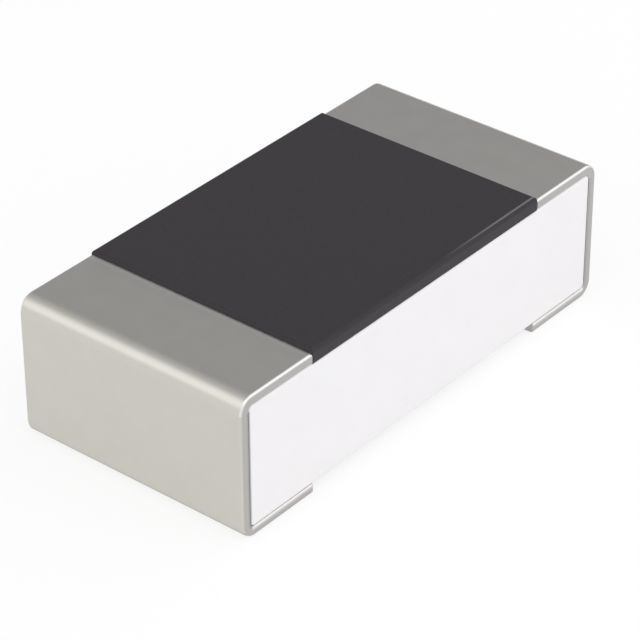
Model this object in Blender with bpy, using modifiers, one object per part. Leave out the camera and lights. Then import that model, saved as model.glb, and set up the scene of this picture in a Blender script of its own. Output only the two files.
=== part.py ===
"""Thick-film chip resistor, 1.60 x 0.80 mm, modelled layer by layer.

An alumina body carries printed silver electrodes, the resistor film with its laser trim
cut, a glass coat and a black resin overcoat. Each end is then wrapped in three more metals
that lie in one another like trays: the edge electrode, the nickel barrier and the tin.

Units are metres. +X runs along the chip, +Z is up, and the origin lies in the chip's middle,
half its height above the board.
"""

import math

import bmesh
import bpy
from mathutils import Matrix, Vector

# The chip over its plated ends
CHIP_LENGTH = 1.600e-3
CHIP_WIDTH = 0.800e-3
SUBSTRATE_THICKNESS = 0.394e-3
TOP_PAD_LENGTH = 0.292e-3
BOTTOM_PAD_LENGTH = 0.292e-3

# Thickness of each layer
ELECTRODE_THICKNESS = 8e-6
EDGE_THICKNESS = 6e-6  # where the edge electrode lies over a printed one
NICKEL_THICKNESS = 8e-6
TIN_THICKNESS = 9e-6
FILM_THICKNESS = 10e-6
GLASS_THICKNESS = 8e-6
OVERCOAT_COVER = 17e-6  # resin above the highest printed layer

# How far each printed layer stops short of the one that covers it
GLASS_END_LAP = 14e-6  # overcoat beyond the glass at each end
GLASS_SIDE_LAP = 110e-6  # overcoat beyond the glass at each side
GLASS_MARGIN = 16e-6  # glass beyond the film, all round
FILM_OVERLAP = 62e-6  # film lying on the electrode
PRINT_RAMP = 12e-6  # run of the slope at a printed edge
ELECTRODE_SIDE_MARGIN = 40e-6

# Laser trim cut: in from one side of the film, then along it
TRIM_WIDTH = 40e-6
TRIM_PLUNGE = 300e-6
TRIM_RUN = 220e-6
TRIM_OFFSET = 110e-6  # from the chip's middle to the plunge cut, towards -X

# Rounded edges
SUBSTRATE_END_RADIUS = 18e-6
SUBSTRATE_EDGE_RADIUS = 10e-6
TIN_EDGE_RADIUS = 9e-6
TIN_LIP_RADIUS = 5e-6
OVERCOAT_EDGE_RADIUS = 12e-6
BEND_STEPS = 6
SMALL_BEND_STEPS = 3
EDGE_STEPS = 2
TRIM_END_ROUNDING = 0.49  # of the cut's width: a half would leave no flat between its two corners

# A cutter runs this far past the faces that it opens
CUT_DEPTH = 50e-6
# Points nearer than this are one point
SAME_POINT = 1e-8
# Edges that turn by more than this are rounded as square ones
SQUARE_EDGE = math.radians(60)
# Faces that meet at more than this are shaded apart
SHADING_EDGE = math.radians(30)
SIDES = {"left": -1, "right": 1}

# The stacks of layers over and under the substrate give the chip's levels
METAL_THICKNESS = ELECTRODE_THICKNESS + EDGE_THICKNESS + NICKEL_THICKNESS + TIN_THICKNESS
NICKEL_DEPTH = TIN_THICKNESS
EDGE_DEPTH = NICKEL_DEPTH + NICKEL_THICKNESS
PRINTED_THICKNESS = ELECTRODE_THICKNESS + FILM_THICKNESS + GLASS_THICKNESS
CHIP_HEIGHT = METAL_THICKNESS + SUBSTRATE_THICKNESS + PRINTED_THICKNESS + OVERCOAT_COVER
BOARD = -CHIP_HEIGHT / 2
SUBSTRATE_BOTTOM = BOARD + METAL_THICKNESS
SUBSTRATE_TOP = SUBSTRATE_BOTTOM + SUBSTRATE_THICKNESS
TERMINAL_TOP = SUBSTRATE_TOP + METAL_THICKNESS
MID_SUBSTRATE = (SUBSTRATE_BOTTOM + SUBSTRATE_TOP) / 2
PRINTED_TOP = SUBSTRATE_TOP + PRINTED_THICKNESS
OVERCOAT_TOP = PRINTED_TOP + OVERCOAT_COVER

# Where things end along the chip, counted out from its middle
HALF_LENGTH = CHIP_LENGTH / 2
SUBSTRATE_END = HALF_LENGTH - METAL_THICKNESS
OVERCOAT_END = HALF_LENGTH - TOP_PAD_LENGTH
BOTTOM_PAD_START = HALF_LENGTH - BOTTOM_PAD_LENGTH
GLASS_END = OVERCOAT_END - GLASS_END_LAP
FILM_END = GLASS_END - GLASS_MARGIN
ELECTRODE_START = FILM_END - FILM_OVERLAP
ELECTRODE_END = SUBSTRATE_END - SUBSTRATE_END_RADIUS

GLASS_WIDTH = CHIP_WIDTH - 2 * GLASS_SIDE_LAP
FILM_WIDTH = GLASS_WIDTH - 2 * GLASS_MARGIN
ELECTRODE_WIDTH = CHIP_WIDTH - 2 * ELECTRODE_SIDE_MARGIN

# An outline is drawn in X and Z. This stands it up, and its extrusion then runs along Y.
STAND_UP = Matrix(((1, 0, 0, 0), (0, 0, -1, 0), (0, 1, 0, 0), (0, 0, 0, 1)))

COLLECTIONS = {}


def clear_scene():
    """Removes every object, and makes the two collections."""
    for obj in list(bpy.data.objects):
        bpy.data.objects.remove(obj)
    for name in ("chip_resistor", "cutters"):
        COLLECTIONS[name] = bpy.data.collections.new(name)
        bpy.context.scene.collection.children.link(COLLECTIONS[name])
    COLLECTIONS["cutters"].hide_render = True


def material(name, colour, roughness, metallic=0.0):
    """A Principled material with one colour."""
    made = bpy.data.materials.new(name)
    made.use_nodes = True
    shader = made.node_tree.nodes["Principled BSDF"]
    shader.inputs["Base Color"].default_value = (*colour, 1.0)
    shader.inputs["Roughness"].default_value = roughness
    shader.inputs["Metallic"].default_value = metallic
    made.diffuse_color = (*colour, 1.0)
    return made


def add_object(name, mesh, finish=None):
    """Puts a mesh in the scene: as a piece where it has a finish, otherwise as a cutter."""
    obj = bpy.data.objects.new(name, mesh)
    if finish:
        mesh.materials.append(finish)
        COLLECTIONS["chip_resistor"].objects.link(obj)
    else:
        obj.hide_render = True
        obj.display_type = "WIRE"
        COLLECTIONS["cutters"].objects.link(obj)
    return obj


def block(name, low, high, finish=None):
    """A box between two corners."""
    low = Vector(low)
    high = Vector(high)
    shape = bmesh.new()
    bmesh.ops.create_cube(shape, size=1.0)
    bmesh.ops.scale(shape, verts=shape.verts, vec=high - low)
    bmesh.ops.translate(shape, verts=shape.verts, vec=(low + high) / 2)
    mesh = bpy.data.meshes.new(name)
    shape.to_mesh(mesh)
    shape.free()
    return add_object(name, mesh, finish)


def extruded_outline(name, points, width, finish=None):
    """A flat outline, given as points in X and Z, carried across the chip's width."""
    curve = bpy.data.curves.new(name + "_outline", "CURVE")
    curve.dimensions = "2D"
    curve.fill_mode = "BOTH"
    curve.extrude = width / 2
    spline = curve.splines.new("POLY")
    spline.points.add(len(points) - 1)
    for point, (x, z) in zip(spline.points, points):
        point.co = (x, z, 0.0, 1.0)
    spline.use_cyclic_u = True

    drawn = bpy.data.objects.new(name + "_outline", curve)
    COLLECTIONS["cutters"].objects.link(drawn)
    graph = bpy.context.evaluated_depsgraph_get()
    mesh = bpy.data.meshes.new_from_object(drawn.evaluated_get(graph))
    mesh.name = name
    bpy.data.objects.remove(drawn)
    bpy.data.curves.remove(curve)

    shape = bmesh.new()
    shape.from_mesh(mesh)
    bmesh.ops.remove_doubles(shape, verts=shape.verts, dist=SAME_POINT)
    shape.transform(STAND_UP)
    for cap in (-1, 1):
        flat = [face for face in shape.faces if all(cap * vert.co.y > 0 for vert in face.verts)]
        bmesh.ops.dissolve_faces(shape, faces=flat)
    bmesh.ops.recalc_face_normals(shape, faces=shape.faces)
    shape.to_mesh(mesh)
    shape.free()
    return add_object(name, mesh, finish)


def arc(centre, radius, start, end, steps):
    """Points on an arc in X and Z, from one angle to another in degrees, both ends included."""
    angles = [math.radians(start + (end - start) * step / steps) for step in range(steps + 1)]
    return [
        (centre[0] + radius * math.cos(angle), centre[1] + radius * math.sin(angle))
        for angle in angles
    ]


def on_side(side, points):
    """The same outline at the left or the right end."""
    return [(side * x, z) for x, z in points]


def round_edges(obj, name, radius, steps, chosen=None):
    """Rounds every square edge, or else each edge by the share that chosen(start, end) gives."""
    bevel = obj.modifiers.new(name, "BEVEL")
    bevel.width = radius
    bevel.segments = steps
    bevel.harden_normals = True
    if chosen is None:
        bevel.limit_method = "ANGLE"
        bevel.angle_limit = SQUARE_EDGE
        return
    bevel.limit_method = "WEIGHT"
    mesh = obj.data
    weights = mesh.attributes.new("bevel_weight_edge", "FLOAT", "EDGE")
    for edge in mesh.edges:
        start, end = (mesh.vertices[index].co for index in edge.vertices)
        weights.data[edge.index].value = float(chosen(start, end))


def cut(obj, *cutters):
    """Takes each cutter away from the piece."""
    for cutter in cutters:
        boolean = obj.modifiers.new("cut_" + cutter.name, "BOOLEAN")
        boolean.operation = "DIFFERENCE"
        boolean.solver = "EXACT"
        boolean.object = cutter


def shade(obj):
    """Smooth shading, which the bevels hold flat on the faces between them."""
    obj.data.shade_smooth()
    obj.data.set_sharp_from_angle(angle=SHADING_EDGE)


def make_substrate(finish):
    """The alumina body: its end edges bend gently, and its other edges are just broken."""
    substrate = block(
        "substrate",
        (-SUBSTRATE_END, -CHIP_WIDTH / 2, SUBSTRATE_BOTTOM),
        (SUBSTRATE_END, CHIP_WIDTH / 2, SUBSTRATE_TOP),
        finish,
    )

    def across(start, end):
        return abs(end.y - start.y) > CHIP_WIDTH / 2

    round_edges(substrate, "end_bends", SUBSTRATE_END_RADIUS, SMALL_BEND_STEPS, across)
    round_edges(substrate, "broken_edges", SUBSTRATE_EDGE_RADIUS, SMALL_BEND_STEPS)
    shade(substrate)


def top_electrode_outline(floor):
    """A printed electrode on the top face, sloping down where the film climbs onto it."""
    top = SUBSTRATE_TOP + ELECTRODE_THICKNESS
    return [
        (ELECTRODE_START, floor),
        (ELECTRODE_START, SUBSTRATE_TOP),
        (ELECTRODE_START + PRINT_RAMP, top),
        (ELECTRODE_END, top),
        (ELECTRODE_END, floor),
    ]


def bottom_electrode_outline(ceiling):
    """A printed electrode on the bottom face, as long as the plating leaves room for."""
    return [
        (BOTTOM_PAD_START + EDGE_DEPTH, SUBSTRATE_BOTTOM - ELECTRODE_THICKNESS),
        (ELECTRODE_END, SUBSTRATE_BOTTOM - ELECTRODE_THICKNESS),
        (ELECTRODE_END, ceiling),
        (BOTTOM_PAD_START + EDGE_DEPTH, ceiling),
    ]


def printed_outline(reach, thickness, floor):
    """A layer printed over both electrodes: it steps up their slopes and thins out at its ends."""
    low = SUBSTRATE_TOP + thickness
    high = low + ELECTRODE_THICKNESS
    half = [
        (ELECTRODE_START, low),
        (ELECTRODE_START + PRINT_RAMP, high),
        (reach - PRINT_RAMP, high),
        (reach, SUBSTRATE_TOP + ELECTRODE_THICKNESS),
        (reach, floor),
    ]
    return on_side(-1, reversed(half)) + half


def make_trim_cutters():
    """The laser's path through film and glass: a plunge from the film's side, then a run along it."""
    low = SUBSTRATE_TOP - CUT_DEPTH
    high = OVERCOAT_TOP
    plunge_x = -TRIM_OFFSET
    turn_y = -FILM_WIDTH / 2 + TRIM_PLUNGE
    plunge = block(
        "trim_plunge",
        (plunge_x - TRIM_WIDTH / 2, -CHIP_WIDTH / 2, low),
        (plunge_x + TRIM_WIDTH / 2, turn_y, high),
    )
    run = block(
        "trim_run",
        (plunge_x - TRIM_WIDTH / 2, turn_y - TRIM_WIDTH, low),
        (plunge_x + TRIM_RUN, turn_y, high),
    )

    def far_corner(start, end):
        """An upright edge at the end of the run."""
        upright = (start.xy - end.xy).length < SAME_POINT
        return upright and start.x > plunge_x

    round_edges(run, "round_end", TRIM_END_ROUNDING * TRIM_WIDTH, SMALL_BEND_STEPS, far_corner)
    return plunge, run


def make_top_layers(finishes):
    """Electrodes, film, glass and overcoat, each one cut to what lies beneath it."""
    cutter_floor = SUBSTRATE_TOP - CUT_DEPTH
    electrode_cutters = []
    for word, side in SIDES.items():
        name = "top_electrode_" + word
        solid = on_side(side, top_electrode_outline(SUBSTRATE_TOP))
        extruded_outline(name, solid, ELECTRODE_WIDTH, finishes["silver"])
        deeper = on_side(side, top_electrode_outline(cutter_floor))
        electrode_cutters.append(extruded_outline(name + "_cutter", deeper, ELECTRODE_WIDTH))
    trims = make_trim_cutters()

    film = extruded_outline(
        "resistor_film",
        printed_outline(FILM_END, FILM_THICKNESS, SUBSTRATE_TOP),
        FILM_WIDTH,
        finishes["film"],
    )
    cut(film, *electrode_cutters, *trims)
    film_cutter = extruded_outline(
        "film_cutter", printed_outline(FILM_END, FILM_THICKNESS, cutter_floor), FILM_WIDTH
    )

    glass_level = FILM_THICKNESS + GLASS_THICKNESS
    glass = extruded_outline(
        "glass_coat",
        printed_outline(GLASS_END, glass_level, SUBSTRATE_TOP),
        GLASS_WIDTH,
        finishes["glass"],
    )
    cut(glass, *electrode_cutters, film_cutter, *trims)
    glass_cutter = extruded_outline(
        "glass_cutter", printed_outline(GLASS_END, glass_level, cutter_floor), GLASS_WIDTH
    )
    cut(glass_cutter, *trims)

    overcoat = block(
        "overcoat",
        (-OVERCOAT_END, -CHIP_WIDTH / 2, SUBSTRATE_TOP),
        (OVERCOAT_END, CHIP_WIDTH / 2, OVERCOAT_TOP),
        finishes["resin"],
    )

    def upper(start, end):
        return min(start.z, end.z) > PRINTED_TOP

    round_edges(overcoat, "soft_rim", OVERCOAT_EDGE_RADIUS, EDGE_STEPS, upper)
    shade(overcoat)
    cut(overcoat, *electrode_cutters, glass_cutter)


def outer_run(depth):
    """The outer face of one layer of an end, from the top pad's middle round to the bottom pad's."""
    end = HALF_LENGTH - depth
    top = TERMINAL_TOP - depth
    bottom = BOARD + depth
    bend = SUBSTRATE_END_RADIUS + METAL_THICKNESS - depth
    return [
        *arc((end - bend, top - bend), bend, 90, 0, BEND_STEPS),
        *arc((end - bend, bottom + bend), bend, 0, -90, BEND_STEPS),
        (BOTTOM_PAD_START + depth, bottom),
    ]


def wrap_outline(depth):
    """The C of one layer, whose outer face lies this deep under the tin's, down to the substrate."""
    radius = SUBSTRATE_END_RADIUS
    centre_x = SUBSTRATE_END - radius
    return [
        (OVERCOAT_END, TERMINAL_TOP - depth),
        *outer_run(depth),
        (BOTTOM_PAD_START + depth, SUBSTRATE_BOTTOM),
        *arc((centre_x, SUBSTRATE_BOTTOM + radius), radius, -90, 0, SMALL_BEND_STEPS),
        *arc((centre_x, SUBSTRATE_TOP - radius), radius, 0, 90, SMALL_BEND_STEPS),
        (OVERCOAT_END, SUBSTRATE_TOP),
    ]


def hollow_outline(depth):
    """What the next layer in takes up, carried on through the substrate and past the top pad's end."""
    past_pad = OVERCOAT_END - CUT_DEPTH
    return [
        (past_pad, TERMINAL_TOP - depth),
        *outer_run(depth),
        (BOTTOM_PAD_START + depth, MID_SUBSTRATE),
        (past_pad, MID_SUBSTRATE),
    ]


def tray_width(depth):
    """Each layer also closes over the sides of the one inside it."""
    return CHIP_WIDTH - 2 * depth


def proud(point):
    """How far a point of an end stands out from the substrate's box."""
    return max(abs(point.x) - SUBSTRATE_END, SUBSTRATE_BOTTOM - point.z, point.z - SUBSTRATE_TOP)


def make_end(word, side, finishes):
    """One terminal: bottom electrode, edge electrode, nickel and tin, from the inside out."""

    def solid(name, outline, width, finish=None):
        return extruded_outline(f"{name}_{word}", on_side(side, outline), width, finish)

    solid(
        "bottom_electrode",
        bottom_electrode_outline(SUBSTRATE_BOTTOM),
        ELECTRODE_WIDTH,
        finishes["silver"],
    )
    bottom_cutter = solid(
        "bottom_electrode_cutter",
        bottom_electrode_outline(SUBSTRATE_BOTTOM + CUT_DEPTH),
        ELECTRODE_WIDTH,
    )
    top_cutter = bpy.data.objects[f"top_electrode_{word}_cutter"]

    edge = solid("edge_electrode", wrap_outline(EDGE_DEPTH), tray_width(EDGE_DEPTH), finishes["edge"])
    cut(edge, top_cutter, bottom_cutter)

    nickel = solid(
        "nickel_barrier", wrap_outline(NICKEL_DEPTH), tray_width(NICKEL_DEPTH), finishes["nickel"]
    )
    cut(nickel, solid("nickel_hollow", hollow_outline(EDGE_DEPTH), tray_width(EDGE_DEPTH)))

    tin = solid("tin_plating", wrap_outline(0.0), CHIP_WIDTH, finishes["tin"])

    def softness(start, end):
        """Along the chip's sides the C's outer edges are fully round, and its lips a little."""
        if start.y != end.y:
            return 0.0
        stands_out = [proud(point) > SAME_POINT for point in (start, end)]
        if all(stands_out):
            return 1.0
        return 0.0 if any(stands_out) else TIN_LIP_RADIUS / TIN_EDGE_RADIUS

    round_edges(tin, "soft_sides", TIN_EDGE_RADIUS, EDGE_STEPS, softness)
    shade(tin)
    cut(tin, solid("tin_hollow", hollow_outline(NICKEL_DEPTH), tray_width(NICKEL_DEPTH)))


def main():
    clear_scene()
    finishes = {
        "alumina": material("alumina", (0.87, 0.86, 0.87), 0.45),
        "silver": material("printed_silver", (0.78, 0.77, 0.74), 0.50, 1.0),
        "film": material("ruthenium_film", (0.035, 0.036, 0.040), 0.55),
        "glass": material("coat_glass", (0.10, 0.22, 0.14), 0.20),
        "resin": material("black_resin", (0.052, 0.048, 0.052), 0.42),
        "edge": material("edge_silver", (0.62, 0.61, 0.58), 0.55, 1.0),
        "nickel": material("nickel", (0.58, 0.55, 0.48), 0.35, 1.0),
        "tin": material("satin_tin", (0.68, 0.67, 0.64), 0.38, 1.0),
    }
    make_substrate(finishes["alumina"])
    make_top_layers(finishes)
    for word, side in SIDES.items():
        make_end(word, side, finishes)


main()
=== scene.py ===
# %% [markdown]
# The object is a thick-film chip resistor, 1.6 mm long and 0.8 mm wide, which is soldered flat
# onto a circuit board. A white ceramic body carries a satin metal terminal round each end, and
# a black resin coat lies on top between them.
#
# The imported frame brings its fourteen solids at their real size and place. Ten of them are
# sealed in. The four that can be seen have bends and rounded edges of a few micrometres, and
# their solids have only two to six flat facets there. So this lesson gives every layer a finish
# of its own, and makes those four again as fine surfaces of the same form.
#
# Everything is in metres, so 3e-6 is three micrometres. X runs along the chip, Z is up, and the
# origin is the chip's middle.

import math

import bmesh
import bpy
import numpy as np
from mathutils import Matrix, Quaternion, Vector


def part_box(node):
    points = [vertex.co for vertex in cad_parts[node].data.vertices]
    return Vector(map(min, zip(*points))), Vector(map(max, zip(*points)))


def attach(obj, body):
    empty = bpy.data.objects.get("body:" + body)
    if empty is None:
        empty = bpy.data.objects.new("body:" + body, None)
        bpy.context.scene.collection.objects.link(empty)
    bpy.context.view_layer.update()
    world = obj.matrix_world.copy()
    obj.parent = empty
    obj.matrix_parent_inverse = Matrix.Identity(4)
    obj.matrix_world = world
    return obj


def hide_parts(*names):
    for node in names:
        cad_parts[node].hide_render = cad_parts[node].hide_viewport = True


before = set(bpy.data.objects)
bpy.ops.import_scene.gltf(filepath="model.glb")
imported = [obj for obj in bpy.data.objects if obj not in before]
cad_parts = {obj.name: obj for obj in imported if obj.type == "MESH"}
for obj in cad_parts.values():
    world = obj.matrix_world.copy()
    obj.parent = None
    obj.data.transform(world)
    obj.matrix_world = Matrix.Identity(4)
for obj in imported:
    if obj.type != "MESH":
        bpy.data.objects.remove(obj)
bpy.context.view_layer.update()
print("the frame holds", len(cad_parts), "nodes:", sorted(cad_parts))

# %% [markdown]
# The frame already says where every layer lies, so the sizes are read from its boxes and not
# written down a second time. A box doesn't show how round an edge is, so the radii are named, the
# two that the finishes need here and the others with their pieces. The metal bends round the
# ceramic's end, so its outer bend is that much wider.

# %% Sizes, read from the frame
tin_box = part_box("tin_plating_right")
nickel_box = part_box("nickel_barrier_right")
substrate_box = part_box("substrate")

half_length = tin_box[1].x
half_width = tin_box[1].y
board = tin_box[0].z
terminal_top = tin_box[1].z
pad_start = tin_box[0].x
metal = half_length - substrate_box[1].x
tin_wall = half_length - nickel_box[1].x

CERAMIC_END_RADIUS = 18e-6
TIN_EDGE_RADIUS = 9e-6
BEND_RADIUS = CERAMIC_END_RADIUS + metal
print("metal on the ceramic:", round(metal * 1e6, 2), "micrometres")
print("of which tin:", round(tin_wall * 1e6, 2), "micrometres")

# %% [markdown]
# The camera stands where the photograph's stood: a long lens, a little under 9 mm from the
# chip, looking down at it from its front left and leaning by a quarter of a degree. The angles
# are measured as a turntable would give them, with 0 degrees looking along +Y. The chip is so
# small that the camera must also draw things a fraction of a millimetre away, so its near limit
# comes down.

# %% The camera
AIM = Vector((-0.1e-6, -8.0e-6, -89.6e-6))
CAMERA_AZIMUTH = math.radians(-50.50)
CAMERA_ELEVATION = math.radians(33.284)
CAMERA_DISTANCE = 8.8440e-3
CAMERA_ROLL = math.radians(0.277)
SENSOR = 36.0
LENS = 172.58


def direction(azimuth, elevation):
    """The way from the object to something that stands at this azimuth and elevation.

    Z is the elevation's sine. X and -Y are the azimuth's sine and cosine, times the elevation's
    cosine.
    """
    level = math.cos(elevation)
    return Vector((math.sin(azimuth) * level, -math.cos(azimuth) * level, math.sin(elevation)))


towards_camera = direction(CAMERA_AZIMUTH, CAMERA_ELEVATION)
camera_data = bpy.data.cameras.new("camera")
camera_data.sensor_width = SENSOR
camera_data.lens = LENS
camera_data.clip_start = CAMERA_DISTANCE / 100
camera_data.clip_end = CAMERA_DISTANCE * 100
camera = bpy.data.objects.new("camera", camera_data)
camera.location = AIM + towards_camera * CAMERA_DISTANCE
camera.rotation_mode = "QUATERNION"
level_view = (-towards_camera).to_track_quat("-Z", "Y")
camera.rotation_quaternion = Quaternion(-towards_camera, CAMERA_ROLL) @ level_view
bpy.context.scene.collection.objects.link(camera)
bpy.context.scene.camera = camera
bpy.context.scene.view_settings.view_transform = "Standard"
print("camera at", [round(1000 * x, 3) for x in camera.location], "mm")

# %% [markdown]
# Every finish below is a small net of nodes. To keep the arithmetic readable, a Wire stands for
# one output of a node, and adding, subtracting or multiplying wires adds the Math nodes. Any
# other node comes from the one method node(), which takes its type, its settings and what goes
# into its sockets.

# %% A pencil for shader maths
class Wire:
    """One output of a node, which can be used in sums as a number would be."""

    def __init__(self, finish, socket):
        self.finish = finish
        self.socket = socket

    def sum(self, operation, first, second):
        """A Math node that works out one operation on two wires or numbers."""
        return self.finish.node("ShaderNodeMath", {"operation": operation}, {0: first, 1: second})

    def __add__(self, other):
        return self.sum("ADD", self, other)

    def __radd__(self, other):
        return self.sum("ADD", other, self)

    def __sub__(self, other):
        return self.sum("SUBTRACT", self, other)

    def __rsub__(self, other):
        return self.sum("SUBTRACT", other, self)

    def __mul__(self, other):
        return self.sum("MULTIPLY", self, other)

    def __rmul__(self, other):
        return self.sum("MULTIPLY", other, self)

    def __abs__(self):
        return self.finish.node("ShaderNodeMath", {"operation": "ABSOLUTE"}, {0: self})


class Finish:
    """One material, or the world, while its nodes are wired up."""

    def __init__(self, name, tree=None):
        self.made = None
        if tree is None:
            self.made = bpy.data.materials.new(name)
            self.made.use_nodes = True
            tree = self.made.node_tree
        self.tree = tree

    def node(self, kind, settings=None, inputs=None, output=0):
        """Adds a node, makes its settings, fills its sockets, and gives one of its outputs."""
        made = self.tree.nodes.new(kind)
        for name, value in (settings or {}).items():
            setattr(made, name, value)
        self.fill(made, inputs or {})
        return Wire(self, made.outputs[output])

    def fill(self, made, inputs):
        """Links a wire to a socket, or sets the socket's own value."""
        for name, value in inputs.items():
            if isinstance(value, Wire):
                self.tree.links.new(value.socket, made.inputs[name])
            else:
                made.inputs[name].default_value = value

    def blend(self, share, first, second):
        """The colour that lies this share of the way from the first to the second."""
        settings = {"data_type": "RGBA", "blend_type": "MIX"}
        return self.node("ShaderNodeMix", settings, {0: share, 6: first, 7: second}, output=2)

    def place(self):
        """Where a point lies on the object, in metres."""
        return self.node("ShaderNodeTexCoord", output="Object")

    def along(self, axis):
        """How far along one axis of the object a point lies, in metres."""
        return self.node("ShaderNodeSeparateXYZ", inputs={"Vector": self.place()}, output=axis)

    def noise(self, size, detail=2.0):
        """Soft clouds from 0 to 1, whose patches are about this many metres across."""
        inputs = {"Vector": self.place(), "Scale": 1 / size, "Detail": detail}
        return self.node("ShaderNodeTexNoise", {"noise_dimensions": "3D"}, inputs, output="Fac")

    def cells(self, size):
        """How far a point lies from the middle of its cell, in cells of this many metres."""
        settings = {"voronoi_dimensions": "3D", "feature": "F1"}
        inputs = {"Vector": self.place(), "Scale": 1 / size}
        return self.node("ShaderNodeTexVoronoi", settings, inputs, output="Distance")

    def rise(self, value, low, high, start=0.0, end=1.0):
        """Start below the low value, end above the high one, and an eased slope between them."""
        inputs = {"Value": value, "From Min": low, "From Max": high, "To Min": start, "To Max": end}
        return self.node("ShaderNodeMapRange", {"interpolation_type": "SMOOTHSTEP"}, inputs)

    def fall(self, value, low, high):
        """1 below the low value, 0 above the high one, and an eased slope between them."""
        return self.rise(value, low, high, start=1.0, end=0.0)

    def relief(self, height, depth):
        """A bumped normal, for a height from 0 to 1 that stands this many metres proud."""
        return self.node("ShaderNodeBump", inputs={"Height": height, "Distance": depth}, output="Normal")

    def surface(self, **inputs):
        """Sets or links the sockets of the material's own shader."""
        shader = self.tree.nodes["Principled BSDF"]
        self.fill(shader, {name.replace("_", " "): value for name, value in inputs.items()})
        return self.made


# %% [markdown]
# The studio is plain: a white floor, a white world with one grey wall in it, and three
# softboxes. A satin metal shows whatever stands opposite, so each lamp has a task. The softbox
# at the back left lies in the bend of the near end, the one overhead in its near corner, and
# the one at the front right draws the thin bright lines along the near edges. Small hard lamps
# could do it too, but they would leave dots on the metal where a softbox leaves a soft band.
#
# Brightness is given as what a mirror would show, where 1 is white. A lamp's power follows from
# it, because a lamp's face of some area gives off pi times that brightness for each unit of
# area.

# %% Softboxes
LAMP_DISTANCE = 12e-3


def add_softbox(name, azimuth, elevation, size, brightness):
    """A square lamp that faces the chip's middle from this direction, given in degrees."""
    lamp = bpy.data.lights.new(name, "AREA")
    lamp.shape = "SQUARE"
    lamp.size = size
    lamp.energy = math.pi * size**2 * brightness
    holder = bpy.data.objects.new(name, lamp)
    way = direction(math.radians(azimuth), math.radians(elevation))
    holder.location = way * LAMP_DISTANCE
    holder.rotation_mode = "QUATERNION"
    holder.rotation_quaternion = (-way).to_track_quat("-Z", "Y")
    holder.visible_camera = False
    bpy.context.scene.collection.objects.link(holder)


add_softbox("softbox_back_left", azimuth=-126, elevation=36, size=8.4e-3, brightness=0.46)
add_softbox("softbox_overhead", azimuth=-42, elevation=56, size=5e-3, brightness=1.8)
add_softbox("softbox_front_right", azimuth=56, elevation=38, size=16e-3, brightness=0.62)
print("lamps:", [lamp.name for lamp in bpy.data.lights])

# %% [markdown]
# The grey wall stands behind on the right, where the terminals' flat tops and the coat mirror
# it, and it is what makes them darker than the end. A real card could stand there, but it would
# throw a shadow and show in other views. So the wall is only a tone in the world: the nearer a
# direction is to the middle of the wall, the more grey is blended into the white.

# %% The world
WHITE_ROOM = (0.95, 0.95, 0.95, 1.0)
GREY_WALL = (0.366, 0.363, 0.391, 1.0)
WALL_MIDDLE = direction(math.radians(123.6), math.radians(17))

world = bpy.data.worlds.new("studio")
world.use_nodes = True
bpy.context.scene.world = world
sky = Finish("studio", world.node_tree)
way = sky.node("ShaderNodeTexCoord", output="Generated")
nearness = sky.node(
    "ShaderNodeVectorMath", {"operation": "DOT_PRODUCT"}, {0: way, 1: WALL_MIDDLE}, output="Value"
)
tone = sky.blend(nearness, WHITE_ROOM, GREY_WALL)
sky.fill(world.node_tree.nodes["Background"], {"Color": tone, "Strength": 1.0})
print("the world goes from", WHITE_ROOM[:3], "to", GREY_WALL[:3])

# %% [markdown]
# The floor is a sheet of white paper, a hair below the chip. Under soft light even white paper
# comes out a little grey, and more lamps would make the chip too bright. So the paper asks the
# Light Path node who is looking. The camera, a mirror and a clear glass see it mostly as plain
# white, and only with a share of the chip's real shadow. All other light falls on real paper.

# %% The floor
FLOOR_REACH = 60e-3
FLOOR_GAP = 0.2e-6
SHADOW_SHARES = {"Is Camera Ray": 0.2, "Is Glossy Ray": 0.4, "Is Transmission Ray": 0.4}
PAPER_DARK = (0.95, 0.95, 0.95, 1.0)
PAPER_PALE = (0.97, 0.97, 0.97, 1.0)
PLAIN_WHITE = (1.0, 1.0, 1.0, 1.0)

floor_mesh = bpy.data.meshes.new("floor")
corners = np.array([(-1, -1), (1, -1), (1, 1), (-1, 1)]) * FLOOR_REACH
floor_level = np.full((4, 1), board - FLOOR_GAP)
floor_mesh.from_pydata(np.hstack((corners, floor_level)), [], [(0, 1, 2, 3)])
floor = bpy.data.objects.new("floor", floor_mesh)
bpy.context.scene.collection.objects.link(floor)

paper = Finish("white_paper")
fibre = paper.noise(40e-6, detail=3.0)
paper.surface(
    Base_Color=paper.blend(fibre, PAPER_DARK, PAPER_PALE),
    Roughness=0.9,
    Specular_IOR_Level=0.0,
)
glow = paper.node("ShaderNodeEmission", inputs={"Color": PLAIN_WHITE, "Strength": 1.0})
white_share = 0.0
for ray, shadow in SHADOW_SHARES.items():
    seen = paper.node("ShaderNodeLightPath", output=ray)
    white_share = paper.node(
        "ShaderNodeMath", {"operation": "MAXIMUM"}, {0: white_share, 1: seen * (1 - shadow)}
    )
shader = paper.tree.nodes["Principled BSDF"]
mixed = paper.node(
    "ShaderNodeMixShader", inputs={0: white_share, 1: Wire(paper, shader.outputs[0]), 2: glow}
)
paper.fill(paper.tree.nodes["Material Output"], {"Surface": mixed})
floor_mesh.materials.append(paper.made)
print("the floor lies at", round(1000 * (board - FLOOR_GAP), 4), "mm")
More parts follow.
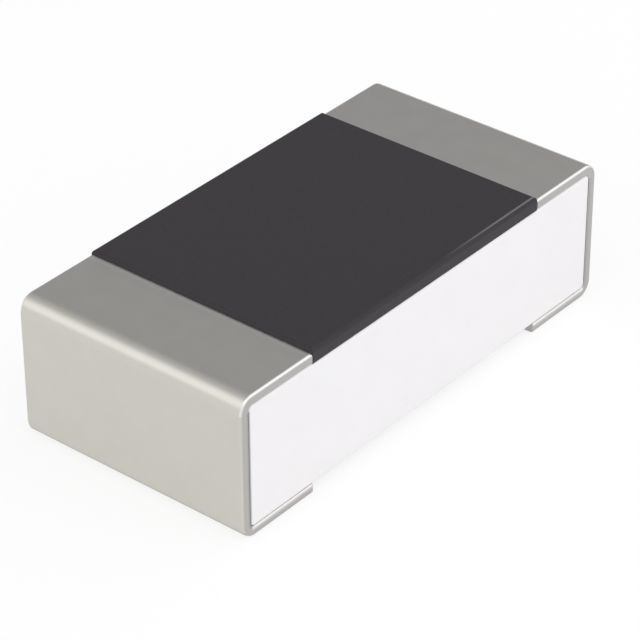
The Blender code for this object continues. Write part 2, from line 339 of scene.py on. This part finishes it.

# %% [markdown]
# Three finishes can be seen, and each has its grain at its real scale, which is a few
# micrometres. A picture wrapped round the piece could carry the grain, but it would blur close
# up and would need the surface unrolled. Noise worked out from a point's place on the object
# stays sharp at any distance and runs on over every edge, so the grain here is noise.
#
# Painted highlights and painted shade follow the form, so the places where the form changes come
# first: where the metal's lips meet the ceramic, the top of a bottom leg, and where the two bends
# of an end begin.

# %% Where the form changes
lip_edge = half_length - metal
leg_top = board + metal
bend_start = half_length - BEND_RADIUS
high_bend = terminal_top - BEND_RADIUS
low_bend = board + BEND_RADIUS
OVER_BEND = 5e-6
print("an end is flat from", round(low_bend * 1e6, 2), "to", round(high_bend * 1e6, 2), "micrometres")


def down_the_end(finish):
    """1 down an end, fading to 0 as the upper bend begins and a little way round the lower one."""
    up = finish.along("Z")
    below_top = finish.fall(up, high_bend, high_bend + OVER_BEND)
    return below_top * finish.rise(up, low_bend - 18e-6, low_bend - 10e-6)


def left_or_right(finish, left, right):
    """One colour on the left half of the chip and another on its right half."""
    return finish.blend(finish.rise(finish.along("X"), -1e-6, 1e-6), left, right)


# %% [markdown]
# The terminals are plated with tin and left matt: millions of small crystals scatter the light,
# so the metal looks brushed in no direction. Its tone isn't even. Light and shade are also painted
# into its colour: a painted highlight on the long edges on top and on the lips of the bottom legs,
# painted shade over the chip's sides, round the lower bends and at the legs' tips and feet, and
# the darkest painted shade on its lips down the ends. A strip against the coat is painted lighter,
# which hides the coat's dark reflection in the metal.
#
# Each of these could be a material of its own, but its border would then be a hard line along
# the mesh. Here each is a zone: a share that fades from 1 to 0 over a few micrometres, and a
# tone. A share is a product of slopes, one for each side on which the zone ends. The zones are
# laid over the metal's own colour one after the other.

# %% Tin
TIN_DARK = (0.605, 0.59, 0.54, 1.0)
TIN_PALE = (0.645, 0.63, 0.575, 1.0)
# Painted highlight, laid on the long edges on top.
TIN_EDGE_HIGHLIGHT = (0.80, 0.79, 0.77, 1.0)
# Painted highlight, laid on the bottom legs' lips.
TIN_LEG_LIP_HIGHLIGHT = (0.77, 0.757, 0.735, 1.0)
# Painted light by the coat, which hides the coat's dark reflection in the metal.
TIN_BY_COAT_LIGHT = (0.755, 0.737, 0.677, 1.0)
# Painted shade, laid over the chip's sides.
TIN_SIDE_SHADE = (0.48, 0.468, 0.459, 1.0)
# Painted shade, laid round the lower bends and at the legs' tips.
TIN_LOW_SHADE = (0.45, 0.44, 0.41, 1.0)
# Painted shade at the legs' feet, by the floor.
TIN_FOOT_SHADE = (0.40, 0.39, 0.38, 1.0)
# Painted shade on the lips down the ends, lighter on the right and darker on the left.
TIN_RIGHT_LIP_SHADE = (0.42, 0.414, 0.408, 1.0)
TIN_LEFT_LIP_SHADE = (0.35, 0.345, 0.34, 1.0)


def edge_zones(tin):
    """Painted highlight on top edges and leg lips, painted shade on sides, painted light by the coat."""
    along = tin.along("X")
    to_side = abs(tin.along("Y"))
    up = tin.along("Z")
    # The long edges on top get a painted highlight.
    edge = tin.rise(to_side, half_width - TIN_EDGE_RADIUS, half_width - 0.7 * TIN_EDGE_RADIUS)
    top_edge = edge * tin.rise(up, high_bend, high_bend + OVER_BEND)
    # The sides get painted shade.
    side = tin.rise(to_side, half_width - TIN_EDGE_RADIUS / 3, half_width)
    # The bottom legs' lips get a painted highlight.
    lip = tin.rise(up, leg_top - 14e-6, leg_top - 3e-6) * tin.fall(up, leg_top, leg_top + 4e-6)
    lip = lip * tin.fall(abs(along), bend_start + 8e-6, bend_start + 17e-6)
    # The strip by the coat is painted lighter, against the coat's dark reflection.
    by_coat = tin.fall(abs(along + pad_start), 3e-6, 26e-6)
    by_coat = by_coat * tin.rise(up, terminal_top - 2e-6, terminal_top - 1e-6)
    return [
        (top_edge, TIN_EDGE_HIGHLIGHT),
        (side, TIN_SIDE_SHADE),
        (lip * edge, TIN_LEG_LIP_HIGHLIGHT),
        (by_coat, TIN_BY_COAT_LIGHT),
    ]


def leg_zones(tin):
    """Painted shade round the lower bends and at the tips and feet of the bottom legs."""
    from_middle = abs(tin.along("X"))
    to_side = abs(tin.along("Y"))
    up = tin.along("Z")
    # Painted shade round the lower bend, at the tip and at the foot.
    bend = tin.fall(up, board + 18e-6, board + 36e-6)
    bend = bend * tin.rise(from_middle, half_length - 17e-6, half_length - 12e-6)
    tip = tin.fall(up, leg_top + 1e-6, leg_top + 2e-6)
    tip = tip * tin.fall(from_middle, pad_start + 1e-6, pad_start + 4e-6)
    foot = tin.fall(up, board + 2e-6, board + 12e-6)
    foot = foot * tin.rise(to_side, half_width - 6e-6, half_width - 3e-6)
    return [(bend, TIN_LOW_SHADE), (tip, TIN_LOW_SHADE), (foot, TIN_FOOT_SHADE)]


def end_zones(tin):
    """Painted shade on the lips down the ends, a little darker on the left."""
    # Painted shade in the groove along the lips down the ends.
    lip = tin.fall(abs(tin.along("X")), lip_edge + 4e-6, lip_edge + 11e-6)
    return [(lip * down_the_end(tin), left_or_right(tin, TIN_LEFT_LIP_SHADE, TIN_RIGHT_LIP_SHADE))]


def make_tin():
    """Satin plated tin: warm pale grey, with crystals 4 micrometres across, and painted light and shade
    in zones.
    """
    tin = Finish("satin_tin")
    clouds = tin.noise(70e-6, detail=3.0)
    crystals = tin.noise(4e-6, detail=2.0)
    colour = tin.blend(clouds, TIN_DARK, TIN_PALE)
    for share, tone in edge_zones(tin) + leg_zones(tin) + end_zones(tin):
        colour = tin.blend(share, colour, tone)
    return tin.surface(
        Base_Color=colour,
        Metallic=1.0,
        Roughness=0.30 + 0.06 * crystals + 0.04 * clouds,
        Normal=tin.relief(crystals, 0.1e-6),
    )


satin_tin = make_tin()
print(satin_tin.name, "has", len(satin_tin.node_tree.nodes), "nodes")

# %% [markdown]
# The body is alumina, pressed into a sheet, fired and snapped apart: nearly white and matt, with
# fine grains and a rare open pore. The pores could be dents in the mesh, but they are too small
# to be seen as such, so a dark dot with a little relief does. Down the ends, painted shade greys
# the ceramic's edge in the groove beside the metal's lips, more so at the left end.

# %% Alumina
ALUMINA_DARK = (0.82, 0.806, 0.816, 1.0)
ALUMINA_PALE = (0.85, 0.836, 0.846, 1.0)
ALUMINA_PORE = (0.55, 0.53, 0.52, 1.0)
# Painted shade in the groove beside the metal's lips, darker on the left.
LEFT_GROOVE_SHADE = (0.17, 0.167, 0.164, 1.0)
RIGHT_GROOVE_SHADE = (0.38, 0.373, 0.367, 1.0)


def make_alumina():
    """Fired alumina, with pores in the middle of its noise cells and painted shade beside the metal."""
    alumina = Finish("fired_alumina")
    clouds = alumina.noise(90e-6, detail=3.0)
    grains = alumina.noise(5e-6, detail=2.0)
    pores = 1 - alumina.rise(alumina.cells(55e-6), 0.03, 0.07)
    body = alumina.blend(clouds, ALUMINA_DARK, ALUMINA_PALE)
    pitted = alumina.blend(pores * 0.25, body, ALUMINA_PORE)
    # Painted shade in the groove beside the metal's lips down the ends.
    groove_shade = alumina.rise(abs(alumina.along("X")), lip_edge - 7.2e-6, lip_edge - 0.2e-6)
    groove_shade_tone = left_or_right(alumina, LEFT_GROOVE_SHADE, RIGHT_GROOVE_SHADE)
    return alumina.surface(
        Base_Color=alumina.blend(groove_shade * down_the_end(alumina), pitted, groove_shade_tone),
        Roughness=0.50 + 0.12 * grains,
        Normal=alumina.relief(grains - pores, 0.15e-6),
    )


fired_alumina = make_alumina()
print(fired_alumina.name, "has", len(fired_alumina.node_tree.nodes), "nodes")

# %% [markdown]
# The coat is resin, printed wet and cured, so it has a soft orange peel, and pale specks of
# filler lie just under its skin. It could be one flat black, but the specks and the uneven
# gloss are what tell resin from paint. A painted highlight lies as a pale line along the right
# half of its front rim.

# %% Resin
RESIN_BLACK = (0.0415, 0.0375, 0.0415, 1.0)
RESIN_FILLER = (0.0565, 0.0515, 0.0565, 1.0)
# Painted highlight along the front rim.
RESIN_RIM_HIGHLIGHT = (0.165, 0.155, 0.165, 1.0)


def make_resin():
    """Black cured resin, with filler in the middle of its noise cells and a painted highlight on the
    front rim.
    """
    resin = Finish("black_resin")
    peel = resin.noise(45e-6, detail=1.0)
    grain = resin.noise(6e-6, detail=2.0)
    filler = 1 - resin.rise(resin.cells(14e-6), 0.10, 0.30)
    body = resin.blend(filler * 0.5, RESIN_BLACK, RESIN_FILLER)
    from_front = resin.along("Y") + half_width
    # A painted highlight along the right half of the front rim.
    rim = resin.rise(from_front, 6e-6, 10e-6) * resin.fall(from_front, 12e-6, 16e-6)
    rim_highlight = rim * resin.rise(resin.along("X"), 30e-6, 360e-6)
    return resin.surface(
        Base_Color=resin.blend(rim_highlight, body, RESIN_RIM_HIGHLIGHT),
        Roughness=0.26 + 0.10 * grain,
        Specular_IOR_Level=0.10,
        Normal=resin.relief(peel + 0.15 * grain, 0.5e-6),
    )


black_resin = make_resin()
print(black_resin.name, "has", len(black_resin.node_tree.nodes), "nodes")

# %% [markdown]
# The layers inside are hidden on a whole chip, but someone may open the model up, so each has
# its own finish too. The printed silver is fired powder and nearly white. The resistor film is
# a dark mix of ruthenium oxide and glass. The glass over it is green. The edge electrode is
# duller silver, and the nickel is yellower and grows in small round nodules. The three metals
# differ only in tone, gloss and grain, so one function makes them all.
#
# These layers keep the solids of the frame, because nothing finer is needed where they are
# sealed in. A finish goes into the node's own material slot, and the node itself isn't touched.

# %% Sealed metals
def make_metal(name, dark, pale, roughness, grain, depth):
    """A fired or plated metal whose grains are this many metres across and stand this proud."""
    metal_finish = Finish(name)
    clouds = metal_finish.noise(60e-6, detail=3.0)
    grains = metal_finish.cells(grain)
    return metal_finish.surface(
        Base_Color=metal_finish.blend(clouds, dark, pale),
        Metallic=1.0,
        Roughness=roughness + 0.10 * grains,
        Normal=metal_finish.relief(1 - grains, depth),
    )


printed_silver = make_metal(
    "printed_silver",
    dark=(0.74, 0.73, 0.70, 1.0),
    pale=(0.82, 0.81, 0.78, 1.0),
    roughness=0.42,
    grain=4e-6,
    depth=0.4e-6,
)
edge_silver = make_metal(
    "edge_silver",
    dark=(0.58, 0.57, 0.54, 1.0),
    pale=(0.66, 0.65, 0.62, 1.0),
    roughness=0.50,
    grain=3e-6,
    depth=0.3e-6,
)
plated_nickel = make_metal(
    "plated_nickel",
    dark=(0.54, 0.51, 0.44, 1.0),
    pale=(0.62, 0.59, 0.52, 1.0),
    roughness=0.30,
    grain=6e-6,
    depth=0.2e-6,
)
print("sealed metals:", [made.name for made in (printed_silver, edge_silver, plated_nickel)])

# %% Film and glass
FILM_DARK = (0.025, 0.026, 0.030, 1.0)
FILM_PALE = (0.050, 0.052, 0.056, 1.0)
GLASS_DARK = (0.07, 0.19, 0.11, 1.0)
GLASS_PALE = (0.12, 0.25, 0.16, 1.0)
GLASS_BUBBLE = (0.35, 0.45, 0.38, 1.0)


def make_film():
    """The fired resistor film: nearly black, with conducting grains that glint a little."""
    film = Finish("ruthenium_film")
    grains = film.noise(5e-6, detail=3.0)
    return film.surface(
        Base_Color=film.blend(grains, FILM_DARK, FILM_PALE),
        Roughness=0.45 + 0.20 * grains,
        Normal=film.relief(grains, 0.3e-6),
    )


def make_glass():
    """The fired glass coat: green and glossy, with a few pale bubbles."""
    glass = Finish("coat_glass")
    clouds = glass.noise(50e-6, detail=2.0)
    bubbles = 1 - glass.rise(glass.cells(45e-6), 0.05, 0.12)
    body = glass.blend(clouds, GLASS_DARK, GLASS_PALE)
    return glass.surface(
        Base_Color=glass.blend(bubbles * 0.5, body, GLASS_BUBBLE),
        Roughness=0.12 + 0.10 * clouds,
        Normal=glass.relief(clouds + bubbles, 0.3e-6),
    )


ruthenium_film = make_film()
coat_glass = make_glass()
print("film and glass:", [made.name for made in (ruthenium_film, coat_glass)])

# %% Into the sealed nodes
inner_finishes = {
    "top_electrode": printed_silver,
    "bottom_electrode": printed_silver,
    "edge_electrode": edge_silver,
    "nickel_barrier": plated_nickel,
    "resistor_film": ruthenium_film,
    "glass_coat": coat_glass,
}
for name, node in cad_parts.items():
    kind = name.removesuffix("_left").removesuffix("_right")
    if kind in inner_finishes:
        for slot in node.material_slots:
            slot.material = inner_finishes[kind]
print("sealed layers finished:", sorted(inner_finishes))

# %% [markdown]
# Now the four pieces that can be seen. Each could be a box with a Bevel modifier, but edges of
# different radii meet at its corners, and the metal's inside has to follow its outside. So each
# piece is one grid of points, worked out as a whole array from formulas that give every radius
# exactly. Its rows run along the piece, and its columns run round it and meet again. Where a
# row shrinks to one point, such as the middle of a flat face, its points are merged, and the
# surface closes there.
#
# A flat face that meets a rounded edge starts with one very narrow strip. Without it, smooth
# shading would carry the edge's curve far over the flat face.

# %% From a grid of points to a closed piece
SAME_POINT = 1e-9
CRISP_EDGE = math.radians(35)
HOLD = 0.6e-6


def add_piece(name, grid, finish, tips=None):
    """Makes a closed mesh of a grid of points, given as rows, columns and the three coordinates.

    A face joins two neighbours of one row with the same two of the next row, and the last
    column's neighbour is the first one. Tips are faces on the two end rows.
    """
    rows, columns = grid.shape[:2]
    index = np.arange(rows * columns).reshape(rows, columns)
    ahead = np.roll(index, -1, axis=1)
    faces = np.stack((index[:-1], ahead[:-1], ahead[1:], index[1:]), axis=-1).reshape(-1, 4)
    if tips is not None:
        ends = [index[row][tips] for row in (0, -1)]
        faces = np.concatenate((faces, *ends))
    mesh = bpy.data.meshes.new(name)
    mesh.from_pydata(grid.reshape(-1, 3), [], faces.tolist())

    shape = bmesh.new()
    shape.from_mesh(mesh)
    bmesh.ops.remove_doubles(shape, verts=shape.verts, dist=SAME_POINT)
    bmesh.ops.recalc_face_normals(shape, faces=shape.faces)
    shape.to_mesh(mesh)
    shape.free()
    mesh.shade_smooth()
    mesh.set_sharp_from_angle(angle=CRISP_EDGE)
    mesh.materials.append(finish)
    piece = bpy.data.objects.new(name, mesh)
    bpy.context.scene.collection.objects.link(piece)
    print(name, "has", len(mesh.polygons), "faces")
    return piece


def stand_for(piece, node):
    """The piece takes the place of a node of the frame."""
    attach(piece, "root")
    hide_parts(node)


# %% [markdown]
# The ceramic body and the coat are both stacks of rings, and each ring is a rectangle with
# rounded corners. A circle pressed into that shape would have its points in the wrong places, so
# a ring is put together from four quarter turns and the four straight lines between them. From
# ring to ring, an edge rounds by the same quarter turn, seen from the side.

# %% Rings with rounded corners
def spread(parts, near):
    """Shares from 0 to 1 in even parts, with one more close to each end, and without the ends."""
    even = np.linspace(0.0, 1.0, parts + 1)[1:-1]
    return np.concatenate(([near], even, [1 - near]))


def rounded_rings(half_a, half_b, radius, corner_steps=12, parts=6, near=0.002):
    """Rows of points round rectangles with rounded corners, one row for each half size given.

    A corner is its centre plus the radius times the cosine and sine of an angle that runs
    through a quarter turn. A straight side is the line from one corner's last point to the
    next one's first.
    """
    half_a, half_b, radius = (np.asarray(value, float)[:, None] for value in (half_a, half_b, radius))
    quarter = np.linspace(0.0, math.pi / 2, corner_steps + 1)
    corners = []
    for turn, (side_a, side_b) in enumerate(((1, 1), (-1, 1), (-1, -1), (1, -1))):
        angle = quarter + turn * math.pi / 2
        a = side_a * (half_a - radius) + radius * np.cos(angle)
        b = side_b * (half_b - radius) + radius * np.sin(angle)
        corners.append(np.stack((a, b), axis=-1))
    share = spread(parts, near)[None, :, None]
    runs = []
    for corner, following in zip(corners, corners[1:] + corners[:1]):
        start = corner[:, -1:]
        end = following[:, :1]
        runs += [corner, start + share * (end - start)]
    return np.concatenate(runs, axis=1)


def rounding(radius, steps):
    """How an edge rounds from a face into the next: how far in, and how far along, at each step.

    An angle runs through a quarter turn. In is the radius times one less the angle's sine, and
    along is the radius times one less its cosine.
    """
    angle = np.linspace(0.0, math.pi / 2, steps + 1)
    return radius * (1 - np.sin(angle)), radius * (1 - np.cos(angle))


print("a ring has", rounded_rings([2.0], [1.0], [0.1]).shape[1], "points")

# %% [markdown]
# The ceramic body is a plain block. Its four edges at the ends, which the metal bends round,
# have the largest radius, and its other edges are only broken, as they are after it is snapped
# from its sheet and tumbled. The broken edges matter: beside the metal they leave the fine dark
# groove that outlines each terminal on the chip's side.
#
# Two radii meet at every corner, which one bevel can't give. So each ring of the body is a
# rectangle in X and Z with rounded corners. The rings start as a point in the middle of the
# near side, grow, round the near edges, run across the chip and close again on the far side.

# %% The ceramic body
CERAMIC_EDGE_RADIUS = 10e-6
substrate_middle = (substrate_box[0] + substrate_box[1]) / 2
substrate_half = (substrate_box[1] - substrate_box[0]) / 2


def ceramic_grid(edge_steps=10, parts=8):
    """Rings across the chip: each has the block's half sizes less an inset, and its place in Y.

    Its corners have the end radius less that inset too, but the innermost ring has it whole.
    """
    inset, along = rounding(CERAMIC_EDGE_RADIUS, edge_steps)
    flat = CERAMIC_EDGE_RADIUS + HOLD
    near_inset = np.concatenate(([flat], inset))
    near_y = np.concatenate(([0.0], along)) - substrate_half.y
    straight = (2 * spread(parts, HOLD / substrate_half.y) - 1) * (substrate_half.y - CERAMIC_EDGE_RADIUS)
    inset = np.concatenate((near_inset, np.zeros(straight.size), near_inset[::-1]))
    y = np.concatenate((near_y, straight, -near_y[::-1]))
    rings = rounded_rings(
        substrate_half.x - inset, substrate_half.z - inset, CERAMIC_END_RADIUS - inset * (inset < flat)
    )
    middle = np.zeros((1, rings.shape[1], 2))
    rings = np.concatenate((middle, rings, middle))
    y = np.concatenate((y[:1], y, y[-1:]))
    grid = np.empty((*rings.shape[:2], 3))
    grid[..., 0] = substrate_middle.x + rings[..., 0]
    grid[..., 1] = substrate_middle.y + y[:, None]
    grid[..., 2] = substrate_middle.z + rings[..., 1]
    return grid


ceramic_body = add_piece("ceramic_body", ceramic_grid(), fired_alumina)
stand_for(ceramic_body, "substrate")

# %% [markdown]
# A terminal's tin is a shallow tray bent into a C: over the top, round a bend, down the end,
# round another bend and in under the bottom. The nickel lies inside the tray. So the tin has
# two surfaces. The outer one is the tray's outside with softly rounded sides, and the inner one
# is the outside held back by the wall's thickness. At the bottom leg's tip the tray closes: the
# hollow stops one wall short of it. A sheet with a Solidify modifier would have the wall but
# not the rounded lips, so both surfaces are worked out.
#
# That is done at stations along the C. A station gives a point of the outside and the way out
# of the surface there. The stations lie closest together round the bends and at the tip, where
# the form turns fastest.

# %% The tin: stations along the C
TIN_TIP_RADIUS = 3e-6


def straight_stations(start, end, way_out, parts=8, with_start=False):
    """Stations on a line, without its end: the start plus shares of the way to the end."""
    start, end = np.array(start), np.array(end)
    share = spread(parts, HOLD / np.linalg.norm(end - start))
    if with_start:
        share = np.concatenate(([0.0], share))
    points = start + share[:, None] * (end - start)
    return points, np.broadcast_to(np.array(way_out, float), points.shape)


def bend_stations(centre, first, last, steps=24):
    """Stations round a bend: its centre plus its radius times a direction that turns."""
    turn = np.radians(np.linspace(first, last, steps + 1))
    ways = np.column_stack((np.cos(turn), np.sin(turn)))
    return np.array(centre) + BEND_RADIUS * ways, ways


def c_stations():
    """All stations, with how far the section draws in, and whether the tray is hollow there.

    It draws in at the tip alone, where a quarter turn of the tip's small radius says how far.
    """
    hollow_end = pad_start + tin_wall
    runs = [
        straight_stations((pad_start, terminal_top), (bend_start, terminal_top), (0, 1), with_start=True),
        bend_stations((bend_start, high_bend), 90, 0),
        straight_stations((half_length, high_bend), (half_length, low_bend), (1, 0)),
        bend_stations((bend_start, low_bend), 0, -90),
        straight_stations((bend_start, board), (hollow_end, board), (0, -1)),
    ]
    points = np.concatenate([run[0] for run in runs])
    ways = np.concatenate([run[1] for run in runs])
    inset, along = rounding(TIN_TIP_RADIUS, 6)
    tip_x = np.concatenate(([hollow_end, hollow_end], pad_start + inset))
    tip_inset = np.concatenate(([0.0, 0.0], along))
    points = np.concatenate((points, np.column_stack((tip_x, np.full(tip_x.size, board)))))
    ways = np.concatenate((ways, np.broadcast_to((0.0, -1.0), (tip_x.size, 2))))
    draw_in = np.concatenate((np.zeros(len(points) - tip_x.size), tip_inset))
    hollow = np.arange(len(points)) <= len(points) - tip_x.size
    return points, ways, draw_in, hollow


print("there are", len(c_stations()[0]), "stations along the C")

# %% [markdown]
# The tray has the same section at every station: round the lip, up the side, round the long
# edge, over the top, and down again on the other side. The section could be drawn anew at each
# station, but it is quicker to give each of its points a depth below the outside and a place
# across the chip, which hold for all stations. The inside is that section too, held back by the
# wall's thickness.

# %% The tin: its section, and the whole tray
TIN_LIP_RADIUS = 5e-6


def outside_section(steps=8, parts=10):
    """The tray's outside from lip to lip, as depth and place across the chip.

    Round the lip by the cosine and sine of a quarter turn, up the side, round the edge in the
    same way, then over the top, and all of it again mirrored.
    """
    lip_in, lip_along = rounding(TIN_LIP_RADIUS, steps)
    side = spread(2, 0.03)[::-1] * (metal - TIN_LIP_RADIUS - TIN_EDGE_RADIUS) + TIN_EDGE_RADIUS
    edge_in, edge_along = rounding(TIN_EDGE_RADIUS, steps)
    depth = np.concatenate((metal - lip_along, side, edge_along[::-1]))
    across = half_width - np.concatenate((lip_in, np.zeros(side.size), edge_in[::-1]))
    top = (2 * spread(parts, 0.001) - 1) * (half_width - TIN_EDGE_RADIUS)
    depth = np.concatenate((depth, np.zeros(top.size), depth[::-1]))
    across = np.concatenate((-across, top, across[::-1]))
    return depth, across


def tin_grid(side):
    """The tray at every station: its outside from lip to lip, then its inside and back.

    In X and Z, a point is its station less its depth times the way out. Side is -1 or 1.
    """
    points, ways, draw_in, hollow = c_stations()
    depth, across = outside_section()
    draw_in = draw_in[:, None]
    out_depth = depth + draw_in * (1 - depth / metal)
    out_across = across - draw_in * np.sign(across)
    in_depth = np.where(hollow[:, None], np.maximum(depth, tin_wall), metal)
    in_across = np.clip(across, tin_wall - half_width, half_width - tin_wall)
    in_across = np.broadcast_to(in_across, in_depth.shape)
    all_depth = np.concatenate((out_depth, in_depth[:, ::-1]), axis=1)
    all_across = np.concatenate((out_across, in_across[:, ::-1]), axis=1)
    grid = np.empty((*all_depth.shape, 3))
    grid[..., 0] = side * (points[:, :1] - all_depth * ways[:, :1])
    grid[..., 1] = all_across
    grid[..., 2] = points[:, 1:] - all_depth * ways[:, 1:]
    return grid


def section_tips(columns):
    """Faces that close a section, each between two points outside and the two across the wall."""
    out = np.arange(columns // 2)
    across_wall = columns - 1 - out
    return np.stack((out[:-1], out[1:], across_wall[1:], across_wall[:-1]), axis=-1)


for word, side in (("left", -1), ("right", 1)):
    tin = tin_grid(side)
    terminal = add_piece("terminal_" + word, tin, satin_tin, section_tips(tin.shape[1]))
    stand_for(terminal, "tin_plating_" + word)

# %% [markdown]
# The resin coat is printed last, over everything between the terminals and out to the chip's
# sides. It is a slab with a softly rounded upper rim. Underneath it has set round whatever lies
# there: the ends of the electrodes, the glass, and the narrow laser cut through glass and film,
# which it fills. That underside could be worked out step by step, but the layers are already
# there as solids. So the slab is made whole first, and then they are taken away from it.

# %% The resin coat
COAT_EDGE_RADIUS = 12e-6
COAT_CORNER_RADIUS = 3e-6
coat_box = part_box("overcoat")
coat_middle = (coat_box[0] + coat_box[1]) / 2
coat_half = (coat_box[1] - coat_box[0]) / 2


def coat_grid(edge_steps=10):
    """Rings from the middle of the top, out over the rim, down the sides and in under the slab.

    Each has the coat's half sizes less an inset, and lies some way down from its top.
    """
    inset, down = rounding(COAT_EDGE_RADIUS, edge_steps)
    inset = np.concatenate(([COAT_EDGE_RADIUS + HOLD], inset, np.zeros(2)))
    sides = np.array([COAT_EDGE_RADIUS + HOLD, 2 * coat_half.z])
    down = np.concatenate(([0.0], down, sides))
    corner = np.full(inset.size, COAT_CORNER_RADIUS)
    rings = rounded_rings(coat_half.x - inset, coat_half.y - inset, corner)
    middle = np.zeros((1, rings.shape[1], 2))
    rings = np.concatenate((middle, rings, middle))
    down = np.concatenate((down[:1], down, down[-1:]))
    grid = np.empty((*rings.shape[:2], 3))
    grid[..., 0] = coat_middle.x + rings[..., 0]
    grid[..., 1] = coat_middle.y + rings[..., 1]
    grid[..., 2] = coat_box[1].z - down[:, None]
    return grid


def take_away(piece, *names):
    """Cuts nodes of the frame out of a piece. The nodes themselves stay as they are.

    A node's mesh is loose triangles, so a copy of it is merged into a closed solid first.
    """
    for name in names:
        cutter_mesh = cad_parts[name].data.copy()
        shape = bmesh.new()
        shape.from_mesh(cutter_mesh)
        bmesh.ops.remove_doubles(shape, verts=shape.verts, dist=SAME_POINT)
        shape.to_mesh(cutter_mesh)
        shape.free()
        cutter = bpy.data.objects.new("cutter_" + name, cutter_mesh)
        bpy.context.scene.collection.objects.link(cutter)
        boolean = piece.modifiers.new("cut_" + name, "BOOLEAN")
        boolean.operation = "DIFFERENCE"
        boolean.solver = "EXACT"
        boolean.object = cutter
        graph = bpy.context.evaluated_depsgraph_get()
        cut_mesh = bpy.data.meshes.new_from_object(piece.evaluated_get(graph))
        piece.modifiers.clear()
        piece.data = cut_mesh
        bpy.data.objects.remove(cutter)
        bpy.data.meshes.remove(cutter_mesh)


resin_coat = add_piece("resin_coat", coat_grid(), black_resin)
take_away(resin_coat, "top_electrode_left", "top_electrode_right", "resistor_film", "glass_coat")
resin_coat.data.materials.clear()
resin_coat.data.materials.append(black_resin)
print("the coat has", len(resin_coat.data.polygons), "faces once it is fitted")
stand_for(resin_coat, "overcoat")
